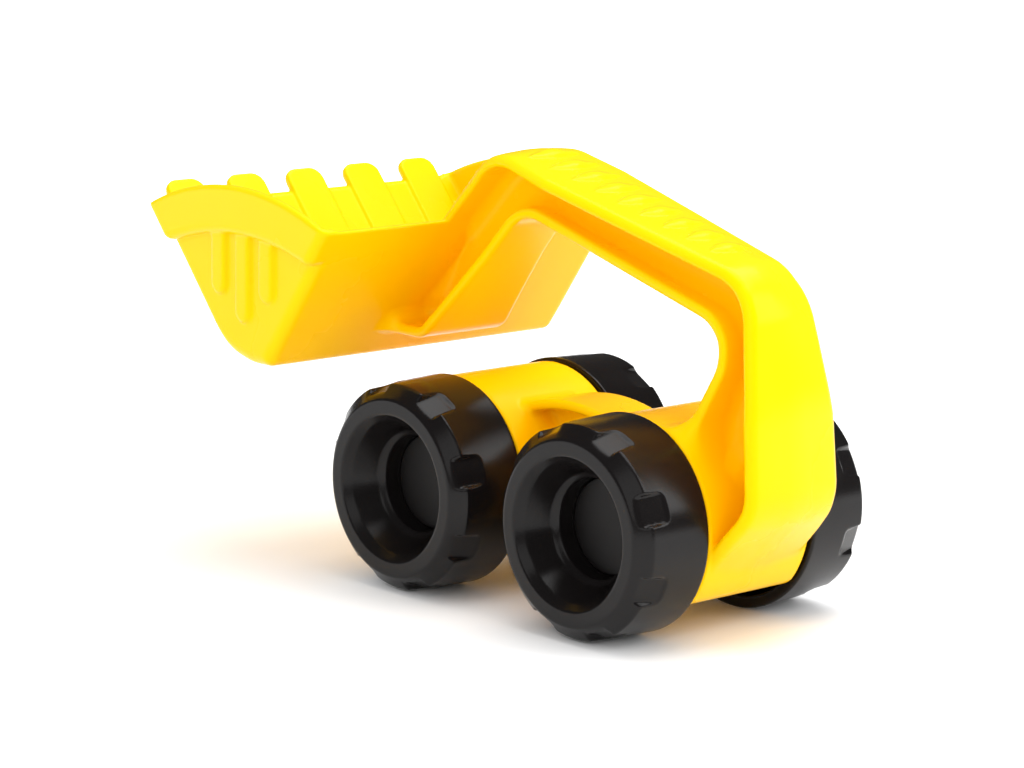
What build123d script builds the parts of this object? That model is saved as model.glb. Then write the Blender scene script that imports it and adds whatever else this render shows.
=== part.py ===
from build123d import *
import os
from math import cos, radians, sin, tan

os.makedirs("parts", exist_ok=True)

# Toy excavator for sand play: one yellow moulding with a toothed bucket, an arm that
# is also the carrying handle and two fat axle barrels, on four free-spinning black wheels.
# Millimetres. +X points to the bucket, +Y to the toy's left, +Z up. The origin is on the
# floor, under the middle of the whole toy.

# ---------------------------------------------------------------- driving dimensions
wheel_d = 70.0               # tread diameter
wheelbase = 84.6             # axle to axle
barrel_gap = 1.05            # a barrel's radius is this much less than a wheel's
barrel_half = 22.9           # half of a barrel's length
barrel_flat_z = 11.9         # flat belly under each barrel
skin = 2.6                   # moulded wall of a barrel
axle_d = 4.0
axle_half = 31.0
running_clearance = 0.06     # radial, wheel on axle
end_play = 0.3               # between a wheel's hub and what stops it

flange = 3.6                 # thickness of the arm's two flanges
web = 2.8                    # centre web of arm and bridge, and the barrels' diaphragm
grip_half_front = 19.4       # half width of the outer flange above the front of the grip
grip_half_rear = 13.4        # and at the rear top corner
column_half_foot = 20.0      # half width of the column where it lands on the rear barrel
inner_half = 14.0            # half width of the flange under the fingers
foot_half = 18.4             # half width of that flange where it meets the bucket
ridge_count = 9
ridge_pitch = 10.0
ridge_height = 1.0
ridge_half_front = 10.5      # half length of the first ridge, and of the last
ridge_half_rear = 7.7
ridge_half_width = 2.2
first_ridge_x = 21.0         # ahead of the axles' midpoint

bucket_wall = 3.0
blade_wall = 2.0
rim_half = 69.0              # half width over the lip bands
lip_proud = 3.9              # a lip band stands this far out of its end wall
blade_angle = 49.5           # blade above horizontal
rim_z = 119.0                # top of the back wall
bucket_floor_z = 69.8        # underside of the bucket
lip_depth = 16.4             # height of the band along an end wall's top
lip_setback = 0.5            # the bands stop this far behind the blade's outer face
arch_rise = 10.6             # top of an end wall above the rim
tooth_count = 5
tooth_pitch = 26.2
tooth_width = 15.8
tooth_thickness = 2.5
tooth_sunk = 0.2             # the teeth's undersides lie this far inside the blade's outer face
tooth_corner = 4.8
tooth_reach = 7.2            # past the blade's top edge
blade_top_drop = 0.3         # the blade's top edge is this far under the rim
wall_rib_width = 8.0
wall_rib_proud = 1.7
wall_rib_places = (88.4, 100.9, 113.9)   # distances ahead of the axles' midpoint
wall_rib_lows = (91.7, 83.6, 91.8)       # heights of their lower ends

tread_in = 23.8              # distances from the centre plane, along the axle
tread_out = 47.0
face_out = 51.1
tread_wall = 4.2
tread_draft = 0.9            # the tread is this much smaller in radius at its outer edge
face_drop = 5.6              # the outer face starts this far inside the tread
face_width = 4.9
dish_slope = 6.5             # radial width of the dish's sloping wall
dish_out = 40.6
dish_ledge = 2.4
cap_thickness = 1.8
hub_r = 5.0
hub_web = 2.4
notch_count = 8
notch_depth = 3.6            # halfway along a notch
notch_tilt = 0.29            # its floor falls this much per millimetre outwards
notch_width = 9.0
notch_in = 39.9
first_notches = {            # where each free wheel stands, degrees from +X towards +Z
    ("front", "left"): 27.5,
    ("front", "right"): 31.5,
    ("rear", "left"): 23.5,
    ("rear", "right"): 17.8,
}
cap_clearance = 0.05
nut_r = 4.6
nut_thickness = 1.0

# ------------------------------------------------------------------- derived places
wheel_r = wheel_d / 2
barrel_r = wheel_r - barrel_gap
face_r = wheel_r - face_drop
face_inner_r = face_r - face_width
dish_r = face_inner_r - dish_slope
cup_r = dish_r - dish_ledge
axle_r = axle_d / 2
bore_r = axle_r + running_clearance
boss_r = hub_r + 0.5
hub_in = barrel_half + 0.7 + end_play
hub_out = axle_half - nut_thickness - 1.1 - end_play
nut_in = hub_out + end_play
cap_seat = nut_in + nut_thickness + 1.6

back_wall_foot_x = 89.6
back_wall_top_x = 54.95
blade_foot_x = 107.8
blade_tan = tan(radians(blade_angle))
blade_tip_x = blade_foot_x + (rim_z - bucket_floor_z) / blade_tan
blade_length = (rim_z - blade_top_drop - bucket_floor_z) / sin(radians(blade_angle))
tooth_tip_x = blade_foot_x - tooth_sunk * sin(radians(blade_angle))
tooth_tip_x += (blade_length + tooth_reach) * cos(radians(blade_angle))
rear_x = -wheelbase / 2
column_back_x = rear_x - 48.9
heel_bulge = 0.56            # the rounded heel stays this far inside its corner
mid_x = -(tooth_tip_x + column_back_x + heel_bulge) / 2

side = Plane(origin=(mid_x, 0, 0), x_dir=(1, 0, 0), z_dir=(0, -1, 0))
axle_places = {"front": wheelbase / 2, "rear": -wheelbase / 2}


def save(builder, name):
    builder.part.label = name
    export_step(builder.part, f"parts/{name}.step")


def on_side(x, z, y=0.0):
    """A point given by its distance ahead of the axles' midpoint and its height."""
    return Vector(mid_x + x, y, z)


# ------------------------------------------------------------------- barrels (one per axle)
def build_barrel(place):
    axle_x = axle_places[place]
    across = Plane(origin=on_side(axle_x, wheel_r), x_dir=(1, 0, 0), z_dir=(0, -1, 0))
    flat_drop = wheel_r - barrel_flat_z
    rib_count = 6
    rib_thickness = 1.8
    with BuildPart() as barrel:
        with BuildSketch(across):
            Circle(barrel_r)
            with Locations((0, -flat_drop - barrel_r)):
                Rectangle(4 * barrel_r, 2 * barrel_r, mode=Mode.SUBTRACT)
            fillet(vertices(), 3.0)
        extrude(amount=barrel_half, both=True)
        end_rims = barrel.edges().filter_by(lambda e: abs(abs(e.center().Y) - barrel_half) < 0.01)
        fillet(end_rims, 0.8)
        for out in (-1, 1):
            mouth = across.offset(out * barrel_half)
            with BuildSketch(mouth):
                Circle(barrel_r - skin)
                with Locations((0, -flat_drop - barrel_r + skin)):
                    Rectangle(4 * barrel_r, 2 * barrel_r, mode=Mode.SUBTRACT)
                Circle(boss_r, mode=Mode.SUBTRACT)
                with PolarLocations(0, rib_count, start_angle=30):
                    with Locations((barrel_r / 2, 0)):
                        Rectangle(barrel_r, rib_thickness, mode=Mode.SUBTRACT)
            extrude(amount=-out * (barrel_half - web / 2), mode=Mode.SUBTRACT)
            with BuildSketch(mouth):
                Circle(boss_r)
            extrude(amount=out * 0.7)
        with BuildSketch(across):
            Circle(axle_r)
        extrude(amount=2 * barrel_half, both=True, mode=Mode.SUBTRACT)
    return barrel


for place in axle_places:
    save(build_barrel(place), f"{place}_barrel")

# ------------------------------------------------------------------- bridge between barrels
bridge_half = 11.7           # half width of the saddle
saddle_z = wheel_r + 30.5    # top of the saddle, midway
saddle_drop = 4.0            # lower than that where it meets the barrels
saddle_thickness = 3.2
half_base = wheelbase / 2
with BuildPart() as bridge:
    with BuildSketch(side):
        with BuildLine():
            crown = ThreePointArc(
                (-half_base, saddle_z - 4 * saddle_drop), (0, saddle_z), (half_base, saddle_z - 4 * saddle_drop)
            )
            Line(crown @ 1, (half_base, barrel_flat_z))
            Line((half_base, barrel_flat_z), (-half_base, barrel_flat_z))
            Line((-half_base, barrel_flat_z), crown @ 0)
        make_face()
    extrude(amount=bridge_half, both=True)
    for out in (-1, 1):
        with BuildSketch(side.offset(out * bridge_half)):
            with BuildLine():
                crown = ThreePointArc(
                    (-half_base, saddle_z - saddle_thickness - 4 * saddle_drop),
                    (0, saddle_z - saddle_thickness),
                    (half_base, saddle_z - saddle_thickness - 4 * saddle_drop),
                )
                Line(crown @ 1, (half_base, barrel_flat_z + saddle_thickness))
                Line((half_base, barrel_flat_z + saddle_thickness), (-half_base, barrel_flat_z + saddle_thickness))
                Line((-half_base, barrel_flat_z + saddle_thickness), crown @ 0)
            make_face()
        extrude(amount=-out * (bridge_half - web / 2), mode=Mode.SUBTRACT)
    for axle_x in axle_places.values():
        with BuildSketch(Plane(origin=on_side(axle_x, wheel_r), x_dir=(1, 0, 0), z_dir=(0, -1, 0))):
            Circle(barrel_r)
        extrude(amount=2 * bridge_half, both=True, mode=Mode.SUBTRACT)
    saddle_edges = bridge.edges().filter_by(
        lambda e: abs(abs(e.center().Y) - bridge_half) < 0.01 and e.center().Z > saddle_z - 2 * saddle_drop
    )
    fillet(saddle_edges.filter_by(GeomType.CIRCLE), 1.2)
save(bridge, "bridge")

# ------------------------------------------------------------------- bucket
floor_round = 22.75          # outer rounds of the trough, seen from the side
heel_round = 4.0
corner_round = 4.0           # where the back wall turns into the end walls
lip_corner_round = 3.3       # and into the lip bands
lip_edge_round = 1.0
lip_low_round = 2.6
mouth_extra = 25.0           # the hollow is cut on above the rim by this much
strip_start = 12.0           # a tooth's strip starts this far up the blade
rib_into_lip = 14.0          # a wall rib's top is this far above the band's lower corner
wall_rib_round = 1.2

blade_inward = Vector(-sin(radians(blade_angle)), 0, cos(radians(blade_angle)))
back_wall_slope = (rim_z - bucket_floor_z) / (back_wall_foot_x - back_wall_top_x)
end_wall_half = rim_half - lip_proud
lip_low_z = rim_z - lip_depth
arch_middle_x = (back_wall_top_x + blade_tip_x) / 2


def trough_side(extra, inset=0.0):
    """Side outline of the trough, its mouth carried on upwards, or its hollow inside the walls."""
    thinned = (bucket_wall - blade_wall) / sin(radians(blade_angle)) if inset else 0.0
    with BuildSketch(side) as outline:
        with BuildLine():
            Polyline(
                (back_wall_top_x - extra / back_wall_slope, rim_z + extra),
                (back_wall_foot_x, bucket_floor_z),
                (blade_foot_x + thinned, bucket_floor_z),
                (blade_tip_x + extra / blade_tan + thinned, rim_z + extra),
                close=True,
            )
        make_face()
        fillet(outline.vertices().group_by(Axis.Y)[0].sort_by(Axis.X)[-1], floor_round)
        if inset:
            offset(amount=-inset)
    return outline.sketch


def arch(height):
    """A lip band's arched line, its ends at a height."""
    return ThreePointArc(
        (back_wall_top_x, height), (arch_middle_x, height + arch_rise), (blade_tip_x, height)
    )


def lip_side():
    """The arched band along the top of an end wall, from the back wall to just behind the blade."""
    lift = mouth_extra
    with BuildSketch(side) as outline:
        with BuildLine():
            top = arch(rim_z)
            low = arch(lip_low_z)
            Line(top @ 0, low @ 0)
            Line(top @ 1, low @ 1)
        make_face()
        with BuildLine():
            Polyline(
                (back_wall_top_x - lift / back_wall_slope, rim_z + lift),
                (back_wall_foot_x, bucket_floor_z),
                (blade_foot_x - lip_setback, bucket_floor_z),
                (blade_tip_x + lift / blade_tan - lip_setback, rim_z + lift),
                close=True,
            )
        make_face(mode=Mode.INTERSECT)
    return outline.sketch


def under_shoulder():
    """Everything lower than the shoulder where the hollow narrows under the lip bands."""
    with BuildSketch(side) as outline:
        with BuildLine():
            top = arch(lip_low_z + bucket_wall)
            Polyline(top @ 1, (blade_tip_x, 0), (back_wall_top_x, 0), top @ 0)
        make_face()
    return outline.sketch


def arch_side():
    """The part of an end wall that rises above the rim."""
    with BuildSketch(side) as outline:
        with BuildLine():
            top = arch(rim_z)
            Line(top @ 1, top @ 0)
        make_face()
    return outline.sketch


def back_corners(solid):
    """The two edges where the back wall turns into the end walls."""
    walls = solid.faces().filter_by(GeomType.PLANE).filter_by(lambda f: f.normal_at().X < -0.5)
    return walls.sort_by(SortBy.AREA)[-1].edges().filter_by(lambda e: abs(e.center().Y) > rim_half / 2)


def heel(solid):
    """The edge along the bottom of the back wall."""
    return solid.edges().filter_by(Axis.Y).group_by(Axis.Z)[0].sort_by(Axis.X)[0]


with BuildPart() as lip_hollow:
    extrude(trough_side(mouth_extra, bucket_wall), amount=rim_half - bucket_wall, both=True)
    extrude(under_shoulder(), amount=rim_half, both=True, mode=Mode.SUBTRACT)

with BuildPart() as cavity:
    extrude(trough_side(mouth_extra, bucket_wall), amount=end_wall_half - bucket_wall, both=True)
    fillet(back_corners(cavity), corner_round - bucket_wall)
    fillet(heel(cavity), heel_round - bucket_wall)

with BuildPart() as lip_band:
    extrude(lip_side(), amount=rim_half, both=True)
    fillet(back_corners(lip_band), lip_corner_round)
    arched = lip_band.edges().filter_by(GeomType.CIRCLE).filter_by(lambda e: e.radius > rim_half)
    by_height = arched.sort_by(Axis.Z)
    fillet(by_height[2:], lip_edge_round)
    arched = lip_band.edges().filter_by(GeomType.CIRCLE).filter_by(lambda e: e.radius > rim_half)
    fillet(arched.sort_by(Axis.Z)[:2], lip_low_round)

blade_foot = on_side(blade_foot_x, bucket_floor_z) + blade_inward * tooth_sunk
blade_face = Plane(origin=blade_foot, x_dir=(0, 1, 0), z_dir=blade_inward)
uphill = 1 if blade_face.y_dir.Z > 0 else -1

with BuildPart() as bucket:
    extrude(trough_side(0), amount=end_wall_half, both=True)
    extrude(arch_side(), amount=end_wall_half, both=True)
    fillet(back_corners(bucket), corner_round)
    fillet(heel(bucket), heel_round)
    add(lip_band.part)
    add(cavity.part, mode=Mode.SUBTRACT)
    add(lip_hollow.part, mode=Mode.SUBTRACT)
    # the back wall and the blade end lower than the arched end walls
    with BuildSketch(Plane(origin=(mid_x, 0, rim_z))):
        with Locations((back_wall_top_x, 0)):
            Rectangle(4 * bucket_wall, 2 * (end_wall_half - corner_round))
    extrude(amount=arch_rise, mode=Mode.SUBTRACT)
    # five teeth: strips that run up the inside of the blade and stand past its edge
    with BuildSketch(blade_face):
        for k in range(tooth_count):
            across = (k - (tooth_count - 1) / 2) * tooth_pitch
            middle = uphill * (strip_start + blade_length + tooth_reach) / 2
            with Locations((across, middle)):
                RectangleRounded(tooth_width, blade_length + tooth_reach - strip_start, tooth_corner)
    extrude(amount=tooth_thickness)
    # three ribs under each lip band, the middle one longest
    for out in (-1, 1):
        wall_middle = out * (end_wall_half - bucket_wall / 2)
        rib_plane = Plane(origin=on_side(0, lip_low_z, wall_middle), x_dir=(1, 0, 0), z_dir=(0, out, 0))
        up = 1 if rib_plane.y_dir.Z > 0 else -1
        with BuildPart(mode=Mode.PRIVATE) as wall_ribs:
            with BuildSketch(rib_plane):
                for rib_x, rib_low in zip(wall_rib_places, wall_rib_lows):
                    length = lip_low_z + rib_into_lip - rib_low
                    with Locations((rib_x, up * (rib_into_lip - length / 2))):
                        RectangleRounded(wall_rib_width, length, wall_rib_width / 2 - 0.1)
            extrude(amount=bucket_wall / 2 + wall_rib_proud)
            fillet(wall_ribs.edges().group_by(Axis.Y)[-1 if out > 0 else 0], wall_rib_round)
        add(wall_ribs.part)
save(bucket, "bucket")

# ------------------------------------------------------------------- arm, which is the handle
# Corners of the arm's side outline before they are rounded: distance ahead, height.
rim_landing = (back_wall_top_x + 5.05, rim_z - 3.5)
front_top = (31.2, 144.9)
rear_top = (rear_x - 38.8, 114.5)
column_waist = (rear_x - 46.3, 76.0)
column_heel = (column_back_x, wheel_r + 9.0)
heel_end = (rear_x - 25.4, wheel_r - 17.9)
foot_corner = (back_wall_foot_x - 25.0, bucket_floor_z + 8.2)
finger_knee = (23.5, 124.8)
finger_rear = (rear_x - 32.0, 97.6)
barrel_landing = (rear_x - 19.0, wheel_r + 33.5)
grip_slope = (front_top[1] - rear_top[1]) / (front_top[0] - rear_top[0])


def arm_side(inset=0.0):
    """Side outline of the arm, from the bucket's rim back and down to the rear barrel."""
    with BuildSketch(side) as outline:
        with BuildLine():
            outer = FilletPolyline(
                rim_landing, front_top, rear_top, column_waist, column_heel, heel_end,
                radius=[12.0, 22.0, 120.0, 18.0],
            )
            inner = FilletPolyline(
                (rear_x, barrel_landing[1]), barrel_landing, finger_rear, finger_knee,
                foot_corner, (foot_corner[0] + 30, foot_corner[1]),
                radius=[14.0, 12.5, 13.0, 9.0],
            )
            Line(outer @ 1, inner @ 0)
            Line(inner @ 1, outer @ 0)
        make_face()
        if inset:
            offset(amount=-inset)
    return outline.sketch


def slab(plane, points):
    """A flat outline on a plane, ready to be extruded."""
    with BuildSketch(plane) as outline:
        with BuildLine():
            Polyline(*points, close=True)
        make_face()
    return outline.sketch


with BuildPart() as centre_web:
    extrude(arm_side(), amount=web / 2, both=True)

with BuildPart() as arm_handle:
    extrude(arm_side(), amount=column_half_foot, both=True)
    extrude(arm_side(flange), amount=column_half_foot, both=True, mode=Mode.SUBTRACT)
    add(centre_web.part)
    far = 3 * column_half_foot
    for out in (-1, 1):
        # the flanges narrow from the front of the grip to the rear top corner
        over_grip = [(mid_x + 6, out * grip_half_front), (mid_x + rear_top[0], out * grip_half_rear)]
        over_grip += [(mid_x + rear_top[0], out * far), (mid_x + 90, out * far)]
        over_grip += [(mid_x + 90, out * grip_half_front)]
        extrude(slab(Plane.XY.offset(finger_rear[1]), over_grip), amount=80, mode=Mode.SUBTRACT)
        # and widen again down the column
        beside_column = [(out * grip_half_rear, rear_top[1]), (out * column_half_foot, column_waist[1] - 8)]
        beside_column += [(out * far, column_waist[1] - 8), (out * far, rear_top[1])]
        behind = Plane(origin=on_side(2 * column_back_x, 0), x_dir=(0, 1, 0), z_dir=(1, 0, 0))
        extrude(slab(behind, beside_column), amount=-2 * column_back_x + rear_top[0] / 2, mode=Mode.SUBTRACT)
        # the lower flange, under the fingers, is narrower
        lower_flange = [(finger_knee[0], finger_knee[1] + 9), (finger_rear[0] + 12, finger_rear[1] + 13)]
        lower_flange += [(finger_rear[0] + 12, finger_rear[1] - 2), (finger_knee[0], finger_rear[1] - 2)]
        beside_fingers = side.offset(-out * inner_half)
        extrude(slab(beside_fingers, lower_flange), amount=-out * far, mode=Mode.SUBTRACT)
        # and widens to its foot on the bucket
        beside_foot = [(out * inner_half, finger_knee[1] - 2), (out * foot_half, foot_corner[1])]
        beside_foot += [(out * far, foot_corner[1]), (out * far, finger_knee[1] - 2)]
        at_knee = Plane(origin=on_side(finger_knee[0], 0), x_dir=(0, 1, 0), z_dir=(1, 0, 0))
        extrude(slab(at_knee, beside_foot), amount=far, mode=Mode.SUBTRACT)
    # finger ridges across the top of the grip
    uphill_grip = Vector(1, 0, grip_slope).normalized()
    for k in range(ridge_count):
        ridge_x = first_ridge_x - k * ridge_pitch
        top_z = front_top[1] - (front_top[0] - ridge_x) * grip_slope
        half_length = ridge_half_front + (ridge_half_rear - ridge_half_front) * k / (ridge_count - 1)
        above = Plane(
            origin=on_side(ridge_x, top_z), x_dir=uphill_grip, z_dir=(-uphill_grip.Z, 0, uphill_grip.X)
        ).offset(-flange / 2)
        with BuildSketch(above):
            with BuildLine():
                ThreePointArc((0, -half_length), (ridge_half_width, 0), (0, half_length))
                ThreePointArc((0, half_length), (-ridge_half_width, 0), (0, -half_length))
            make_face()
        extrude(amount=flange / 2 + ridge_height)
    # the arm ends on the bucket's outside and on the rear barrel
    extrude(trough_side(0), amount=far, both=True, mode=Mode.SUBTRACT)
    with BuildSketch(side):
        with Locations((axle_places["rear"], wheel_r)):
            Circle(barrel_r)
    extrude(amount=far, both=True, mode=Mode.SUBTRACT)
save(arm_handle, "arm_handle")

# ------------------------------------------------------------------- wheels and their hub caps
notch_length = face_out - notch_in + 6.0
inner_tread_r = wheel_r - tread_wall


def wheel_section(axle_x, out):
    """Half section of a wheel: distance from the axle, then distance from the centre plane."""
    plane = Plane(origin=on_side(axle_x, wheel_r), x_dir=(1, 0, 0), z_dir=(0, 0, out))
    with BuildSketch(plane) as section:
        with BuildLine():
            Polyline(
                (wheel_r, tread_in),
                (wheel_r - tread_draft, tread_out),
                (face_r, face_out),
                (face_inner_r, face_out),
                (face_inner_r - 0.3, face_out - 1.1),
                (face_inner_r - 2.3, face_out - 2.7),
                (dish_r, dish_out),
                (cup_r + 0.4, dish_out - 1.4),
                (cup_r, cap_seat),
                (cup_r - 1.6, cap_seat),
                (cup_r - 1.6, hub_out),
                (bore_r, hub_out),
                (bore_r, hub_in),
                (hub_r, hub_in),
                (hub_r, hub_out - hub_web),
                (dish_r, hub_out - hub_web),
                (dish_r + 0.4, dish_out - 3.6),
                (face_inner_r + 0.4, face_out - 4.5),
                (face_r - 0.8, face_out - 2.9),
                (inner_tread_r - 0.8, tread_out - 1.7),
                (inner_tread_r, tread_in),
                close=True,
            )
        make_face()
    return section.sketch


def build_wheel(place, out, first_notch):
    axle_x = axle_places[place]
    centre = on_side(axle_x, wheel_r)
    with BuildPart() as wheel:
        revolve(wheel_section(axle_x, out), axis=Axis(centre, (0, 1, 0)))
        for k in range(notch_count):
            turn = radians(first_notch + k * 360 / notch_count)
            radial = Vector(cos(turn), 0, sin(turn))
            floor = centre + radial * (wheel_r - notch_depth) + Vector(0, out * (notch_in + notch_length / 2), 0)
            tilt = Vector(0, out * notch_tilt, 0)
            floor_plane = Plane(origin=floor, x_dir=Vector(0, out, 0) - radial * notch_tilt, z_dir=radial + tilt)
            with BuildSketch(floor_plane):
                RectangleRounded(notch_length, notch_width, 2.5)
            with BuildSketch(floor_plane.offset(2 * notch_depth)):
                RectangleRounded(notch_length + 2.5, notch_width + 4.0, 3.5)
            loft(mode=Mode.SUBTRACT)
    return wheel


def build_hub_cap(place, out):
    centre = on_side(axle_places[place], wheel_r)
    outside = Plane(origin=centre + Vector(0, out * cap_seat, 0), x_dir=(1, 0, 0), z_dir=(0, out, 0))
    with BuildPart() as cap:
        with BuildSketch(outside):
            Circle(cup_r - cap_clearance)
        extrude(amount=cap_thickness)
        fillet(cap.edges().group_by(Axis.Y)[-1 if out > 0 else 0], 0.5)
        with BuildSketch(outside):
            Circle(cup_r - 1.6 - cap_clearance)
            Circle(cup_r - 2.8, mode=Mode.SUBTRACT)
        extrude(amount=-(cap_seat - nut_in))
    return cap


for (place, hand), first_notch in first_notches.items():
    out = 1 if hand == "left" else -1
    save(build_wheel(place, out, first_notch), f"{place}_{hand}_wheel")
    save(build_hub_cap(place, out), f"{place}_{hand}_hub_cap")

# ------------------------------------------------------------------- axles and their push nuts
for place, axle_x in axle_places.items():
    with BuildPart() as axle:
        with BuildSketch(Plane(origin=on_side(axle_x, wheel_r), x_dir=(1, 0, 0), z_dir=(0, -1, 0))):
            Circle(axle_r)
        extrude(amount=axle_half, both=True)
        chamfer(axle.edges().filter_by(GeomType.CIRCLE), 0.5)
    save(axle, f"{place}_axle")

with BuildPart() as push_nuts:
    for axle_x in axle_places.values():
        for out in (-1, 1):
            seat = Plane(origin=on_side(axle_x, wheel_r, out * nut_in), x_dir=(1, 0, 0), z_dir=(0, out, 0))
            with BuildSketch(seat):
                Circle(nut_r)
                Circle(axle_r, mode=Mode.SUBTRACT)
            extrude(amount=nut_thickness)
save(push_nuts, "axle_push_nuts")
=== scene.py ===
import math

import bpy
import numpy as np
import openvdb
from mathutils import Matrix, Vector


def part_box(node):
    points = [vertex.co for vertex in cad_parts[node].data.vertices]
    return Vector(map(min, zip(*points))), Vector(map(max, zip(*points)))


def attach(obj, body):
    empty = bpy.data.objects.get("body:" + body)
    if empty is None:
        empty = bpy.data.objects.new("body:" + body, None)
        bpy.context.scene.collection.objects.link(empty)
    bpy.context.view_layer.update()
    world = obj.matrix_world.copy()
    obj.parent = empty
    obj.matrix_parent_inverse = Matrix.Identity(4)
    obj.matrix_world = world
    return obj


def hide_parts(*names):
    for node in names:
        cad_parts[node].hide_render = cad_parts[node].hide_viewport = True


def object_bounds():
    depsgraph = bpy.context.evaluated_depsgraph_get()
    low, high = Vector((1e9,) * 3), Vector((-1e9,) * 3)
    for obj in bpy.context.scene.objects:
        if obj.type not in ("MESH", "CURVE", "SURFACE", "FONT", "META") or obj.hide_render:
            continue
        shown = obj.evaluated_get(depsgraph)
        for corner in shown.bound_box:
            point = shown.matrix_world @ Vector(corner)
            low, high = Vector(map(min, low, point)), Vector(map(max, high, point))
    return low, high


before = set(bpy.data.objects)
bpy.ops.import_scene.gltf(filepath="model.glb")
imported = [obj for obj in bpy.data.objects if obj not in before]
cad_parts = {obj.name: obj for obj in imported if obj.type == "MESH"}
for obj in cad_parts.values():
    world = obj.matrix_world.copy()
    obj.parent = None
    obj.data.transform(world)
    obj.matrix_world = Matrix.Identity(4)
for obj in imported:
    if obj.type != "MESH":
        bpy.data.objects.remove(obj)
cadLow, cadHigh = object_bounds()

mm = 0.001


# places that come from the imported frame, in millimetres
def midOf(node):
    low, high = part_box(node)
    return (low + high) / (2 * mm)


def topOf(node):
    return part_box(node)[1] / mm


def bottomOf(node):
    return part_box(node)[0] / mm


frontAxle = midOf("front_axle")
rearAxle = midOf("rear_axle")
midX = (frontAxle.x + rearAxle.x) / 2  # shapes below are measured ahead of this, between the axles
wheelR = (topOf("front_left_wheel").z - bottomOf("front_left_wheel").z) / 2
axleReach = frontAxle.x - midX
axleZ = frontAxle.z
print("frame read: axles", round(2 * axleReach, 2), "mm apart, wheels", round(2 * wheelR, 2), "mm")


# distance fields: negative inside the plastic, in millimetres
def roundAnd(a, b, r):  # inside both, their common edge rounded
    return np.minimum(np.maximum(a, b), -r) + np.hypot(np.maximum(a + r, 0), np.maximum(b + r, 0))


def roundOr(a, b, r):  # inside either, with a fillet where they meet
    return np.maximum(np.minimum(a, b), r) - np.hypot(np.maximum(r - a, 0), np.maximum(r - b, 0))


def roundedPath(corners, closed=False, step=0.8):  # corners are (x, z, radius)
    spots = [np.array(c[:2], float) for c in corners]
    radii = [c[2] if len(c) > 2 else 0.0 for c in corners]
    count = len(spots)
    path = []
    for i, (spot, r) in enumerate(zip(spots, radii)):
        if r == 0 or (not closed and i in (0, count - 1)):
            path.append(spot)
            continue
        toBack = spots[i - 1] - spot
        toNext = spots[(i + 1) % count] - spot
        toBack /= np.linalg.norm(toBack)
        toNext /= np.linalg.norm(toNext)
        half = math.acos(np.clip(toBack @ toNext, -1, 1)) / 2
        bisector = (toBack + toNext) / np.linalg.norm(toBack + toNext)
        centre = spot + bisector * r / math.sin(half)
        first = spot + toBack * r / math.tan(half) - centre
        last = spot + toNext * r / math.tan(half) - centre
        sweep = math.pi - 2 * half
        pieces = max(2, math.ceil(r * sweep / step))
        for k in range(pieces + 1):
            t = k / pieces
            spoke = math.sin((1 - t) * sweep) * first + math.sin(t * sweep) * last
            path.append(centre + spoke / math.sin(sweep))
    return path


def nearestOn(path, gx, gz):  # distance to a path, and how far along it the nearest point is
    shape = np.broadcast(gx, gz).shape
    best = np.full(shape, 1e12)
    along = np.zeros(shape)
    travelled = 0.0
    for a, b in zip(path[:-1], path[1:]):
        run = b - a
        length = np.linalg.norm(run)
        if length < 1e-9:
            continue
        t = np.clip(((gx - a[0]) * run[0] + (gz - a[1]) * run[1]) / length**2, 0, 1)
        gap = (gx - a[0] - t * run[0]) ** 2 + (gz - a[1] - t * run[1]) ** 2
        closer = gap < best
        best = np.where(closer, gap, best)
        along = np.where(closer, travelled + t * length, along)
        travelled += length
    return np.sqrt(best), along


def isInside(path, gx, gz):
    inside = np.zeros(np.broadcast(gx, gz).shape, bool)
    for a, b in zip(path, path[1:] + path[:1]):
        if a[1] != b[1]:
            crosses = (a[1] > gz) != (b[1] > gz)
            inside ^= crosses & (gx < a[0] + (gz - a[1]) * (b[0] - a[0]) / (b[1] - a[1]))
    return inside


def outlineField(path, gx, gz):
    gap = nearestOn(path + path[:1], gx, gz)[0]
    return np.where(isInside(path, gx, gz), -gap, gap)


def widthAlong(path, knots, along):  # half width along a path, from (x, z, half width) knots
    places = [nearestOn(path, np.array([k[0]]), np.array([k[1]]))[1][0] for k in knots]
    return np.interp(along, places, [k[2] for k in knots])


def meshFromField(name, field, origin, cell):
    reach = 3.0  # the field is kept this far to each side of the surface
    grid = openvdb.FloatGrid(reach)
    grid.copyFromArray(np.ascontiguousarray(np.clip(field, -reach, reach), np.float32))
    points, triangles, quads = grid.convertToPolygons(0.0, 0.0)
    points = points * cell + np.array(origin)
    faces = [tuple(int(i) for i in q[::-1]) for q in quads]
    faces += [tuple(int(i) for i in t[::-1]) for t in triangles]
    mesh = bpy.data.meshes.new(name)
    mesh.from_pydata([tuple(p) for p in points * mm], [], faces)
    mesh.validate()
    mesh.shade_smooth()
    obj = bpy.data.objects.new(name, mesh)
    bpy.context.scene.collection.objects.link(obj)
    return obj


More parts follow.
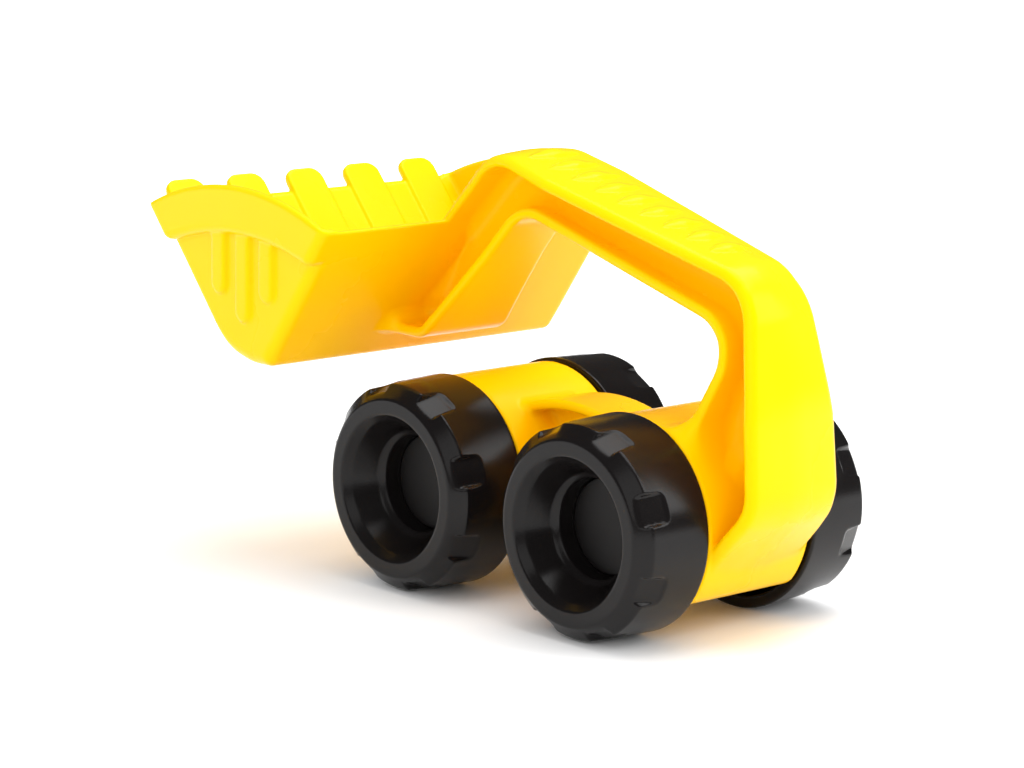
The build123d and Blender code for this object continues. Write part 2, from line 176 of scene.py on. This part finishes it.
# the yellow moulding: bucket, arm, barrels and bridge in one piece
moulding = {
    "cell": 0.6,
    "armIntoBucket": 0.5,    # fillets where its parts run together
    "footIntoBucket": 6.5,   # lower down, behind the bucket
    "armIntoBarrel": 10.0,
    "footIntoBarrel": 0.8,   # at the back of the column's foot
    "bridgeIntoBarrel": 2.5,
    "ribIntoWall": 0.8,
    "toothIntoBlade": 0.5,
    "lowerFrom": 104.0,      # below this height the lower fillet takes over
    "lowerOver": 14.0,
    "frontFrom": -84.0,      # ahead of this the column gets its full fillet
    "frontOver": 12.0,
    "raisedFrom": 40.0,      # and above this height
    "raisedOver": 14.0,
}
barrel = {
    "radius": topOf("rear_barrel").z - axleZ,
    "half": 22.9,
    "bellyZ": bottomOf("rear_barrel").z,
    "bellyRound": 3.0,
    "skin": 2.6,
    "bossRadius": 5.5,
    "boreRadius": 2.03,
    "ribs": 6,
    "ribTurn": 30,           # degrees
    "ribThickness": 1.8,
    "ribFillet": 0.8,
    "web": 2.8,
    "edge": 0.9,
}
bridge = {
    "half": 11.7,
    "saddleZ": 65.5,
    "saddleEndZ": 49.5,      # of the same arc, above each axle
    "thickness": 3.2,
    "web": 2.8,
    "edge": 1.6,
    "fillet": 3.0,
}
arm = {
    "outer": [               # (distance ahead, height, rounding)
        (61.5, 117.0), (33.5, 145.5, 20.0), (-81.1, 114.5, 22.0), (-88.6, 76.0, 120.0),
        (-91.2, 44.0, 18.0), (-67.7, 17.1),
    ],
    "inner": [
        (-53.5, 51.0), (-74.3, 97.6, 12.5), (23.5, 124.8, 13.0), (64.6, 78.0, 9.0), (94.6, 78.0),
    ],
    "outerHalf": [           # (distance ahead, height, half width)
        (61.5, 117.0, 16.0), (46.0, 133.0, 16.0), (5.4, 138.0, 19.4), (-33.3, 127.0, 16.7),
        (-70.9, 114.3, 13.7), (-75.5, 111.8, 13.4), (-81.3, 104.9, 14.6), (-84.8, 91.8, 16.7),
        (-88.1, 72.4, 19.5), (-89.5, 53.7, 20.0), (-88.1, 44.9, 20.2), (-81.6, 34.9, 21.8),
    ],
    "innerHalf": [
        (-61.3, 68.5, 18.5), (-74.3, 97.6, 14.0), (23.5, 124.8, 12.1), (37.0, 108.0, 13.0),
        (50.0, 94.0, 15.5), (62.0, 80.8, 18.3),
    ],
    "flange": 3.6,
    "web": 2.8,
    "outerEdge": 3.2,        # roundings along the flanges
    "innerEdge": 1.4,
    "webFillet": 5.5,
    "crown": 1.4,            # the outer flange is this much higher along its middle
}
ridges = {
    "count": 9,
    "pitch": 10.0,
    "firstX": 21.0,
    "halfFirst": 11.5,
    "halfLast": 8.2,
    "halfWidth": 3.2,
    "height": 1.5,
}
bucket = {
    "backTop": 54.95,
    "backFoot": 89.6,
    "bladeFoot": 107.8,
    "bladeAngle": 49.5,
    "bladeDrop": 0.3,
    "rimZ": 119.0,
    "floorZ": bottomOf("bucket").z,
    "floorRound": 22.75,
    "heelRound": 4.0,
    "wall": 3.0,
    "bladeWall": 2.0,
    "corners": [(84.0, 4.0), (92.0, 4.5), (104.0, 4.5), (116.0, 1.3)],  # (distance ahead, rounding)
    "inside": 1.6,
    "edge": 1.2,
}
lipBand = {
    "half": topOf("bucket").y,
    "proud": 3.9,
    "depth": 16.4,
    "rise": 10.6,
    "corner": 3.3,
    "frontCorner": 1.3,
    "lowRound": 3.0,
    "cornerFrom": 85.0,      # the corner eases into the front corner from here
    "cornerOver": 30.0,
    "archFrom": 61.0,        # the rim rises into the arch from this far out
    "archOver": 3.0,
}
teeth = {
    "pitch": 26.2,
    "width": 15.8,
    "sunk": 0.2,
    "thickness": 2.7,
    "reach": 7.2,
    "start": 12.0,
    "corner": 4.8,
    "edge": 0.6,
}
wallRibs = {
    "places": (88.4, 100.9, 113.9),
    "lows": (91.7, 83.6, 91.8),
    "high": 112.0,
    "width": 8.0,
    "proud": 1.8,
    "edge": 1.6,
    "seatEdge": 0.1,         # where a rib sits in the wall
}


def barrelField(ax, X, Y, Z):
    b = barrel
    gx, gz = X - ax, Z - axleZ
    r = np.hypot(gx, gz)
    outline = roundAnd(r - b["radius"], b["bellyZ"] - Z, b["bellyRound"])
    body = roundAnd(outline, np.abs(Y) - b["half"], b["edge"])
    hollow = np.maximum(outline + b["skin"], b["web"] / 2 - Y)
    turn = np.arctan2(gz, gx)
    sector = 2 * math.pi / b["ribs"]
    folded = (turn - math.radians(b["ribTurn"]) + sector / 2) % sector - sector / 2
    rib = np.abs(r * np.sin(folded)) - b["ribThickness"] / 2
    hollow = roundAnd(hollow, -np.minimum(rib, r - b["bossRadius"]), b["ribFillet"])
    body = np.maximum(body, -hollow)
    return np.maximum(body, b["boreRadius"] - r)


def bridgeField(X, Y, Z):
    b = bridge
    rise = b["saddleZ"] - b["saddleEndZ"]
    arcR = (axleReach**2 + rise**2) / (2 * rise)
    overSaddle = np.hypot(X, Z - (b["saddleZ"] - arcR)) - arcR
    aboveBelly = Z - barrel["bellyZ"]
    plates = np.minimum(-overSaddle, aboveBelly) - b["thickness"]
    plates = roundAnd(np.abs(Y) - b["half"], plates, b["edge"])
    profile = roundOr(plates, np.abs(Y) - b["web"] / 2, b["fillet"])
    body = roundAnd(np.maximum(overSaddle, -aboveBelly), profile, b["edge"])
    return np.maximum(body, np.abs(X) - axleReach)


def armField(X, Y, Z):
    a = arm
    outerPath, innerPath = roundedPath(a["outer"]), roundedPath(a["inner"])
    side = outlineField(outerPath + innerPath, X, Z)
    toOuter, alongOuter = nearestOn(outerPath, X, Z)
    toInner, alongInner = nearestOn(innerPath, X, Z)
    alpha = math.atan2(a["outer"][1][1] - a["outer"][2][1], a["outer"][1][0] - a["outer"][2][0])
    gripAlong = X * math.cos(alpha) + Z * math.sin(alpha)
    outerHalf = widthAlong(outerPath, a["outerHalf"], alongOuter)
    innerHalf = widthAlong(innerPath, a["innerHalf"], alongInner)
    dome = np.zeros(np.broadcast(X, Y).shape, np.float32)
    g = ridges
    for k in range(g["count"]):
        x = g["firstX"] - k * g["pitch"]
        z = a["outer"][1][1] - (a["outer"][1][0] - x) * math.tan(alpha)
        half = g["halfFirst"] + (g["halfLast"] - g["halfFirst"]) * k / (g["count"] - 1)
        across = g["halfWidth"] * np.maximum(1 - (Y / half) ** 2, 1e-3)
        offset = (gripAlong - (x * math.cos(alpha) + z * math.sin(alpha))) / across
        swell = g["height"] * np.sqrt(np.maximum(1 - offset**2, 0))
        dome = np.maximum(dome, swell * np.sqrt(np.maximum(1 - (Y / half) ** 2, 0)))
    dome += a["crown"] * np.clip(1 - (Y / outerHalf) ** 2, 0, 1)
    outerFlange = roundAnd(np.abs(Y) - outerHalf, toOuter - a["flange"], a["innerEdge"])
    innerFlange = roundAnd(np.abs(Y) - innerHalf, toInner - a["flange"], a["innerEdge"])
    profile = roundOr(np.minimum(outerFlange, innerFlange), np.abs(Y) - a["web"] / 2, a["webFillet"])
    edge = np.where(toOuter < toInner, a["outerEdge"], a["innerEdge"])
    body = roundAnd(side - np.where(toOuter < toInner, dome, 0), profile, edge)
    return body.astype(np.float32), side


def bucketFields(X, Y, Z):
    b, lip = bucket, lipBand
    slope = math.radians(b["bladeAngle"])
    lift = 30.0
    backRun = (b["backFoot"] - b["backTop"]) / (b["rimZ"] - b["floorZ"])
    tipX = b["bladeFoot"] + (b["rimZ"] - b["floorZ"]) / math.tan(slope)

    def trough(shift):  # side field, its blade moved forwards
        corners = [
            (b["backTop"] - lift * backRun, b["rimZ"] + lift),
            (b["backFoot"], b["floorZ"], b["heelRound"]),
            (b["bladeFoot"] + shift, b["floorZ"], b["floorRound"]),
            (tipX + shift + lift / math.tan(slope), b["rimZ"] + lift),
        ]
        return outlineField(roundedPath(corners), X, Z).astype(np.float32)

    side = trough(0.0)
    inside = trough((b["wall"] - b["bladeWall"]) / math.sin(slope)) + b["wall"]
    end = Y - lip["half"] + lip["proud"]
    outer = roundAnd(side, end, np.interp(X, *zip(*b["corners"])))
    # the arch along the top of each end wall, and the band that hangs from it
    chord = (tipX - b["backTop"]) / 2
    archR = (chord**2 + lip["rise"] ** 2) / (2 * lip["rise"])
    archX, archZ = b["backTop"] + chord, b["rimZ"] + lip["rise"] - archR
    overArch = np.hypot(X - archX, Z - archZ) - archR
    overLow = np.hypot(X - archX, Z - archZ + lip["depth"]) - archR
    toFront = np.clip((X - lip["cornerFrom"]) / lip["cornerOver"], 0, 1)
    corner = lip["corner"] + (lip["frontCorner"] - lip["corner"]) * toFront
    face = roundAnd(side, Y - lip["half"], corner)
    band = roundAnd(face, -overLow, lip["lowRound"])
    # the hollow widens behind the bands
    hollow = roundAnd(inside, end + b["wall"], b["inside"])
    behind = roundAnd(inside, Y - lip["half"] + b["wall"], b["inside"])
    behind = roundAnd(behind, b["wall"] - overLow, b["inside"])
    hollow = np.minimum(hollow, behind)
    overRim = np.where(X > archX, Z - b["rimZ"] + b["bladeDrop"], Z - b["rimZ"])
    toArch = np.clip((Y - lip["archFrom"]) / lip["archOver"], 0, 1)
    overTop = overRim + (overArch - overRim) * toArch
    ribs = None
    for x, low in zip(wallRibs["places"], wallRibs["lows"]):
        half = wallRibs["width"] / 2
        past = np.maximum(low + half - Z, 0) + np.maximum(Z - wallRibs["high"], 0)
        pill = np.hypot(X - x, past) - half
        ribs = pill if ribs is None else np.minimum(ribs, pill)
    ribs = roundAnd(ribs, end - wallRibs["proud"], wallRibs["edge"])
    ribs = roundAnd(ribs, -end - b["wall"] / 2, wallRibs["seatEdge"])
    return outer, hollow, band, overTop, ribs


def teethField(X, Y, Z):
    b, t = bucket, teeth
    slope = math.radians(b["bladeAngle"])
    up = (X - b["bladeFoot"]) * math.cos(slope) + (Z - b["floorZ"]) * math.sin(slope)
    above = -(X - b["bladeFoot"]) * math.sin(slope) + (Z - b["floorZ"]) * math.cos(slope) - t["sunk"]
    top = (b["rimZ"] - b["bladeDrop"] - b["floorZ"]) / math.sin(slope) + t["reach"]
    fold = np.clip(np.round(Y / t["pitch"]), 0, 2) * t["pitch"]
    across = np.abs(Y - fold) - t["width"] / 2
    along = np.abs(up - (t["start"] + top) / 2) - (top - t["start"]) / 2
    strip = roundAnd(across, along, t["corner"])
    return roundAnd(strip, np.abs(above - t["thickness"] / 2) - t["thickness"] / 2, t["edge"])


def buildMoulding():
    m, cell = moulding, moulding["cell"]
    low = Vector(cadLow) / mm
    high = Vector(cadHigh) / mm
    margin = 3 * cell
    x = np.arange(low.x - midX - margin, high.x - midX + margin, cell)
    y = np.arange(0, high.y + margin, cell)
    z = np.arange(barrel["bellyZ"] - margin, high.z + margin, cell)
    X = x[:, None, None].astype(np.float32)
    Y = y[None, :, None].astype(np.float32)
    Z = z[None, None, :].astype(np.float32)
    outer, hollow, band, overTop, ribs = bucketFields(X, Y, Z)
    shell = roundOr(np.minimum(outer, band), ribs, m["ribIntoWall"])
    shell = roundAnd(shell, overTop, bucket["edge"])
    armShape, side = armField(X, Y, Z)
    lower = np.clip((m["lowerFrom"] - Z) / m["lowerOver"], 0, 1)
    between = np.clip(0.5 - side / 2, 0, 1)  # only inside the arm's side outline
    spread = m["armIntoBucket"] + (m["footIntoBucket"] - m["armIntoBucket"]) * lower * between
    body = roundOr(armShape, shell, spread)
    body = roundAnd(body, -hollow, bucket["edge"])
    body = roundOr(body, teethField(X, Y, Z), m["toothIntoBlade"])
    barrels = np.minimum(barrelField(axleReach, X, Y, Z), barrelField(-axleReach, X, Y, Z))
    under = roundOr(barrels, bridgeField(X, Y, Z), m["bridgeIntoBarrel"])
    front = np.clip((X - m["frontFrom"]) / m["frontOver"], 0, 1)
    front = front * np.clip((Z - m["raisedFrom"]) / m["raisedOver"], 0, 1)
    spread = m["footIntoBarrel"] + (m["armIntoBarrel"] - m["footIntoBarrel"]) * front
    body = roundOr(body, under, spread)
    body = np.maximum(body, barrel["bellyZ"] - Z)
    full = np.concatenate([body[:, :0:-1, :], body], axis=1)
    origin = (x[0] + midX, -y[-1], z[0])
    return meshFromField("yellowMoulding", full, origin, cell)


yellowMoulding = buildMoulding()
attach(yellowMoulding, "toy_body")
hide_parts("bucket", "arm_handle", "front_barrel", "rear_barrel", "bridge")
print("moulding built:", len(yellowMoulding.data.polygons), "faces")


# wheels: one moulding, turned to where each one stands
wheel = {
    "cell": 0.45,
    "treadIn": 23.8,
    "section": [             # (distance from the axle, from the toy's middle, rounding)
        (35.0, 23.8, 0.7), (34.1, 47.0, 1.0), (29.4, 51.1, 1.4), (24.5, 51.1, 0.8), (22.2, 48.4, 0.8),
        (18.0, 40.6, 1.0), (16.0, 39.2, 0.7), (15.6, 31.5, 0.0), (14.0, 31.5, 0.0), (14.0, 28.6, 0.3),
        (2.06, 28.6, 0.0), (2.06, 23.9, 0.0), (5.0, 23.9, 0.4), (5.0, 26.2, 0.5), (18.0, 26.2, 1.0),
        (18.4, 37.0, 1.0), (24.9, 46.6, 1.0), (28.6, 48.2, 1.0), (30.0, 45.3, 1.0), (30.8, 23.8, 0.7),
    ],
    "notches": 8,
    "notchWidth": 9.0,
    "notchFrom": 39.9,
    "notchFloor": 31.4,
    "notchFloorAt": 48.5,
    "notchTilt": 0.29,
    "notchFlare": 0.35,
    "notchEdge": 0.7,
    "notchCorner": 1.6,
    "notchFoot": 0.5,
    "turned": {"front_left": 27.5, "front_right": 31.5, "rear_left": 23.5, "rear_right": 17.8},
}


def wheelMesh():
    w, cell = wheel, wheel["cell"]
    reach = wheelR + 3 * cell
    flat = np.arange(-reach, reach + cell, cell)
    out = np.arange(w["treadIn"] - 3 * cell, max(s[1] for s in w["section"]) + 3 * cell, cell)
    U = flat[:, None, None].astype(np.float32)
    W = out[None, :, None].astype(np.float32)
    V = flat[None, None, :].astype(np.float32)
    r = np.hypot(U, V)
    # the section's field is worked out once on a flat grid and looked up by radius
    fine = cell / 3
    rs = np.arange(0, reach * 1.5, fine)
    section = roundedPath(w["section"], closed=True, step=0.3)
    table = outlineField(section, rs[:, None], out[None, :].astype(float))
    place = np.clip(r[:, 0, :] / fine, 0, len(rs) - 2)
    lower = place.astype(int)
    share = (place - lower)[:, None, :]
    body = (1 - share) * table[lower].transpose(0, 2, 1)
    body = body + share * table[lower + 1].transpose(0, 2, 1)
    sector = 2 * math.pi / w["notches"]
    folded = (np.arctan2(V, U) + sector / 2) % sector - sector / 2
    sideways, outward = r * np.sin(folded), r * np.cos(folded)
    overFloor = outward - w["notchFloor"] + w["notchTilt"] * (W - w["notchFloorAt"])
    flare = w["notchFlare"] * overFloor
    notchSide = np.abs(sideways) - w["notchWidth"] / 2 - flare
    notch = roundAnd(notchSide, w["notchFrom"] - W - flare, w["notchCorner"])
    notch = roundAnd(notch, -overFloor, w["notchFoot"])
    body = roundAnd(body, -notch, w["notchEdge"])
    return meshFromField("wheelMoulding", body, (-reach, out[0], -reach), cell)


pattern = wheelMesh()
print("wheel built:", len(pattern.data.polygons), "faces")
wheels = {}
for corner, turned in wheel["turned"].items():
    axle = frontAxle if corner.startswith("front") else rearAxle
    mesh = pattern.data.copy()
    spin = Matrix.Rotation(-math.radians(turned), 4, "Y")
    shift = Matrix.Translation(Vector((axle.x, 0, axle.z)) * mm)
    if corner.endswith("right"):
        mesh.transform(shift @ spin @ Matrix.Scale(-1, 4, (0, 1, 0)))
        mesh.flip_normals()
    else:
        mesh.transform(shift @ spin)
    end, hand = corner.split("_")
    name = end + hand.capitalize() + "Wheel"
    obj = bpy.data.objects.new(name, mesh)
    bpy.context.scene.collection.objects.link(obj)
    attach(obj, corner + "_wheel")
    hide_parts(corner + "_wheel")
    wheels[corner] = obj
bpy.data.objects.remove(pattern)


# finishes
def nodeOf(tree, kind, place, **values):
    made = tree.nodes.new(kind)
    made.location = place
    for key, value in values.items():
        setattr(made, key, value)
    return made


def mouldSkinGroup():  # fine unevenness of a moulded surface: height, gloss and tone
    group = bpy.data.node_groups.new("mouldSkin", "ShaderNodeTree")
    face = group.interface
    inputs = (("Pebble Size", 900.0), ("Gloss Low", 0.2), ("Gloss High", 0.3), ("Tone", 0.03))
    for title, value in inputs:
        socket = face.new_socket(name=title, in_out="INPUT", socket_type="NodeSocketFloat")
        socket.default_value = value
    for title in ("Height", "Roughness", "Tone Value"):
        face.new_socket(name=title, in_out="OUTPUT", socket_type="NodeSocketFloat")
    start = nodeOf(group, "NodeGroupInput", (-700, 0))
    end = nodeOf(group, "NodeGroupOutput", (500, 0))
    where = nodeOf(group, "ShaderNodeTexCoord", (-700, -300))
    pebble = nodeOf(group, "ShaderNodeTexNoise", (-400, 200))
    pebble.inputs["Detail"].default_value = 3.0
    ripple = nodeOf(group, "ShaderNodeTexNoise", (-400, -80))
    ripple.inputs["Scale"].default_value = 45.0
    ripple.inputs["Detail"].default_value = 2.0
    cloud = nodeOf(group, "ShaderNodeTexNoise", (-400, -360))
    cloud.inputs["Scale"].default_value = 18.0
    cloud.inputs["Detail"].default_value = 4.0
    mixed = nodeOf(group, "ShaderNodeMath", (-120, 100), operation="MULTIPLY_ADD")
    mixed.inputs[1].default_value = 3.0
    gloss = nodeOf(group, "ShaderNodeMapRange", (-120, -120))
    gloss.inputs["From Min"].default_value = 0.35
    gloss.inputs["From Max"].default_value = 0.65
    tone = nodeOf(group, "ShaderNodeMath", (-120, -400), operation="SUBTRACT")
    tone.inputs[1].default_value = 0.5
    scaled = nodeOf(group, "ShaderNodeMath", (100, -400), operation="MULTIPLY_ADD")
    scaled.inputs[2].default_value = 1.0
    link = group.links.new
    for noise in (pebble, ripple, cloud):
        link(where.outputs["Object"], noise.inputs["Vector"])
    link(start.outputs["Pebble Size"], pebble.inputs["Scale"])
    link(ripple.outputs["Fac"], mixed.inputs[0])
    link(pebble.outputs["Fac"], mixed.inputs[2])
    link(mixed.outputs[0], end.inputs["Height"])
    link(cloud.outputs["Fac"], gloss.inputs["Value"])
    link(start.outputs["Gloss Low"], gloss.inputs["To Min"])
    link(start.outputs["Gloss High"], gloss.inputs["To Max"])
    link(gloss.outputs["Result"], end.inputs["Roughness"])
    link(cloud.outputs["Fac"], tone.inputs[0])
    link(tone.outputs[0], scaled.inputs[0])
    link(start.outputs["Tone"], scaled.inputs[1])
    link(scaled.outputs[0], end.inputs["Tone Value"])
    return group


mouldSkin = mouldSkinGroup()


def plastic(name, look):
    material = bpy.data.materials.new(name)
    material.use_nodes = True
    tree = material.node_tree
    shader = tree.nodes["Principled BSDF"]
    skin = nodeOf(tree, "ShaderNodeGroup", (-700, 100), node_tree=mouldSkin)
    skin.inputs["Pebble Size"].default_value = look["pebble"]
    skin.inputs["Gloss Low"].default_value = look["gloss"][0]
    skin.inputs["Gloss High"].default_value = look["gloss"][1]
    skin.inputs["Tone"].default_value = look["tone"]
    bump = nodeOf(tree, "ShaderNodeBump", (-250, -200))
    bump.inputs["Strength"].default_value = look["bump"]
    bump.inputs["Distance"].default_value = look["bumpDepth"]
    tint = nodeOf(tree, "ShaderNodeHueSaturation", (-250, 200))
    tint.inputs["Color"].default_value = (*look["colour"], 1.0)
    link = tree.links.new
    link(skin.outputs["Tone Value"], tint.inputs["Value"])
    link(tint.outputs["Color"], shader.inputs["Base Color"])
    link(skin.outputs["Roughness"], shader.inputs["Roughness"])
    link(skin.outputs["Height"], bump.inputs["Height"])
    link(bump.outputs["Normal"], shader.inputs["Normal"])
    shader.inputs["Specular IOR Level"].default_value = look["specular"]
    shader.inputs["Specular Tint"].default_value = (*look["sheen"], 1.0)
    return material


def metal(name, look):
    material = bpy.data.materials.new(name)
    material.use_nodes = True
    tree = material.node_tree
    shader = tree.nodes["Principled BSDF"]
    where = nodeOf(tree, "ShaderNodeTexCoord", (-900, 0))
    noise = nodeOf(tree, "ShaderNodeTexNoise", (-650, 0))
    noise.inputs["Scale"].default_value = look["scale"]
    noise.inputs["Detail"].default_value = 6.0
    ramp = nodeOf(tree, "ShaderNodeValToRGB", (-400, 150))
    ramp.color_ramp.elements[0].color = (*look["dark"], 1.0)
    ramp.color_ramp.elements[1].color = (*look["light"], 1.0)
    gloss = nodeOf(tree, "ShaderNodeMapRange", (-400, -150))
    gloss.inputs["To Min"].default_value = look["gloss"][0]
    gloss.inputs["To Max"].default_value = look["gloss"][1]
    link = tree.links.new
    link(where.outputs["Object"], noise.inputs["Vector"])
    link(noise.outputs["Fac"], ramp.inputs["Fac"])
    link(ramp.outputs["Color"], shader.inputs["Base Color"])
    link(noise.outputs["Fac"], gloss.inputs["Value"])
    link(gloss.outputs["Result"], shader.inputs["Roughness"])
    shader.inputs["Metallic"].default_value = 1.0
    return material


finishes = {
    "yellowPlastic": {
        "colour": (1.0, 0.56, 0.0), "pebble": 900.0, "gloss": (0.22, 0.30), "tone": 0.02,
        "bump": 0.012, "bumpDepth": 0.0002, "specular": 0.3, "sheen": (1.0, 0.72, 0.12),
    },
    "wheelPlastic": {
        "colour": (0.006, 0.005, 0.005), "pebble": 1500.0, "gloss": (0.18, 0.27), "tone": 0.2,
        "bump": 0.08, "bumpDepth": 0.0002, "specular": 0.22, "sheen": (1.0, 1.0, 1.0),
    },
    "capPlastic": {
        "colour": (0.007, 0.006, 0.006), "pebble": 1500.0, "gloss": (0.34, 0.44), "tone": 0.2,
        "bump": 0.08, "bumpDepth": 0.0002, "specular": 0.22, "sheen": (1.0, 1.0, 1.0),
    },
    "axleSteel": {
        "dark": (0.42, 0.41, 0.40), "light": (0.62, 0.61, 0.60), "scale": 120.0, "gloss": (0.25, 0.4),
    },
    "nutSteel": {
        "dark": (0.30, 0.30, 0.31), "light": (0.50, 0.50, 0.52), "scale": 260.0, "gloss": (0.3, 0.5),
    },
}


def wear(obj, material):
    obj.data.materials.clear()
    obj.data.materials.append(material)


def dressNode(node, material):
    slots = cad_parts[node].data.materials
    slots.clear()
    slots.append(material)


yellowPlastic = plastic("yellowPlastic", finishes["yellowPlastic"])
wheelPlastic = plastic("wheelPlastic", finishes["wheelPlastic"])
capPlastic = plastic("capPlastic", finishes["capPlastic"])
axleSteel = metal("axleSteel", finishes["axleSteel"])
nutSteel = metal("nutSteel", finishes["nutSteel"])
wear(yellowMoulding, yellowPlastic)
for obj in wheels.values():
    wear(obj, wheelPlastic)
for corner in wheels:
    dressNode(corner + "_hub_cap", capPlastic)
for node in ("front_axle", "rear_axle"):
    dressNode(node, axleSteel)
dressNode("axle_push_nuts", nutSteel)
print("finishes on")


# floor, light and camera
studio = {
    "floorSize": 12.0,
    "floorColour": (0.90, 0.90, 0.90),
    "glowFrom": 0.35,        # the floor's painted glow rises from none to full between these distances, turning the sweep pure white
    "glowFull": 1.3,
    "seenSky": 1.0,          # brightness of the backdrop as the camera sees it
    "diffuseSky": 1.12,      # and as it lights the toy
    "glossSky": 0.08,        # and in reflections
    "lights": {              # place, aimed at the toy; size in metres; watts
        "overhead": {"at": (-0.1, -0.25, 1.3), "size": (1.1, 1.1), "power": 12.5},
        "tailSide": {"at": (-1.05, -0.7, 0.8), "size": (0.6, 0.9), "power": 6.5},
        "nearSide": {"at": (-0.75, 1.1, 0.75), "size": (0.9, 0.9), "power": 3.0},
    },
    "aim": (0.0, 0.0, 0.06),
}
viewpoint = {
    "at": (midX * mm - 0.78526, 0.75394, 0.27270),
    "turn": 42.43,           # towards the toy's right of straight ahead, degrees
    "down": 10.565,
    "roll": 0.770,
    "focal": 119.43,
}


def roomFloor():
    half = studio["floorSize"] / 2
    mesh = bpy.data.meshes.new("studioFloor")
    corners = [(-half, -half, 0), (half, -half, 0), (half, half, 0), (-half, half, 0)]
    mesh.from_pydata(corners, [], [(0, 1, 2, 3)])
    obj = bpy.data.objects.new("studioFloor", mesh)
    bpy.context.scene.collection.objects.link(obj)
    material = bpy.data.materials.new("paperWhiteGlow")
    material.use_nodes = True
    shader = material.node_tree.nodes["Principled BSDF"]
    shader.inputs["Base Color"].default_value = (*studio["floorColour"], 1.0)
    shader.inputs["Roughness"].default_value = 0.9
    tree = material.node_tree
    where = nodeOf(tree, "ShaderNodeTexCoord", (-900, -200))
    away = nodeOf(tree, "ShaderNodeVectorMath", (-700, -200), operation="LENGTH")
    glow = nodeOf(tree, "ShaderNodeMapRange", (-500, -200), interpolation_type="SMOOTHSTEP")
    glow.inputs["From Min"].default_value = studio["glowFrom"]
    glow.inputs["From Max"].default_value = studio["glowFull"]
    tree.links.new(where.outputs["Object"], away.inputs[0])
    tree.links.new(away.outputs["Value"], glow.inputs["Value"])
    # painted glow: the floor gives off light of its own, none near the toy and rising to full white
    # further out, which also lights the toy from below
    tree.links.new(glow.outputs["Result"], shader.inputs["Emission Color"])
    shader.inputs["Emission Strength"].default_value = 1.0
    mesh.materials.append(material)


def hangLights():
    aim = Vector(studio["aim"])
    for name, light in studio["lights"].items():
        data = bpy.data.lights.new(name, "AREA")
        data.shape = "RECTANGLE"
        data.size, data.size_y = light["size"]
        data.energy = light["power"]
        obj = bpy.data.objects.new(name, data)
        obj.location = light["at"]
        obj.rotation_mode = "QUATERNION"
        obj.rotation_quaternion = (aim - obj.location).to_track_quat("-Z", "Y")
        bpy.context.scene.collection.objects.link(obj)


def lightRoom():
    world = bpy.data.worlds.new("studioSky")
    world.use_nodes = True
    tree = world.node_tree
    background = tree.nodes["Background"]
    path = nodeOf(tree, "ShaderNodeLightPath", (-700, 0))
    gloss = nodeOf(tree, "ShaderNodeMix", (-450, 0))
    seen = nodeOf(tree, "ShaderNodeMix", (-220, 0))
    gloss.inputs["A"].default_value = studio["diffuseSky"]
    gloss.inputs["B"].default_value = studio["glossSky"]
    seen.inputs["B"].default_value = studio["seenSky"]
    link = tree.links.new
    link(path.outputs["Is Glossy Ray"], gloss.inputs["Factor"])
    link(gloss.outputs["Result"], seen.inputs["A"])
    link(path.outputs["Is Camera Ray"], seen.inputs["Factor"])
    link(seen.outputs["Result"], background.inputs["Strength"])
    background.inputs["Color"].default_value = (1.0, 1.0, 1.0, 1.0)
    bpy.context.scene.world = world


def setCamera():
    v = viewpoint
    turn, down, roll = (math.radians(v[k]) for k in ("turn", "down", "roll"))
    level = math.cos(down)
    ahead = Vector((math.cos(turn) * level, -math.sin(turn) * level, -math.sin(down)))
    right = ahead.cross(Vector((0, 0, 1))).normalized()
    up = right.cross(ahead)
    across = math.cos(roll) * right + math.sin(roll) * up
    upright = -math.sin(roll) * right + math.cos(roll) * up
    data = bpy.data.cameras.new("mainCamera")
    data.lens = v["focal"]
    data.sensor_width = 36.0
    camera = bpy.data.objects.new("mainCamera", data)
    camera.rotation_mode = "QUATERNION"
    camera.rotation_quaternion = Matrix((across, upright, -ahead)).transposed().to_quaternion()
    camera.location = v["at"]
    bpy.context.scene.collection.objects.link(camera)
    bpy.context.scene.camera = camera


roomFloor()
hangLights()
lightRoom()
setCamera()
bpy.context.scene.view_settings.view_transform = "Standard"
print("studio ready")
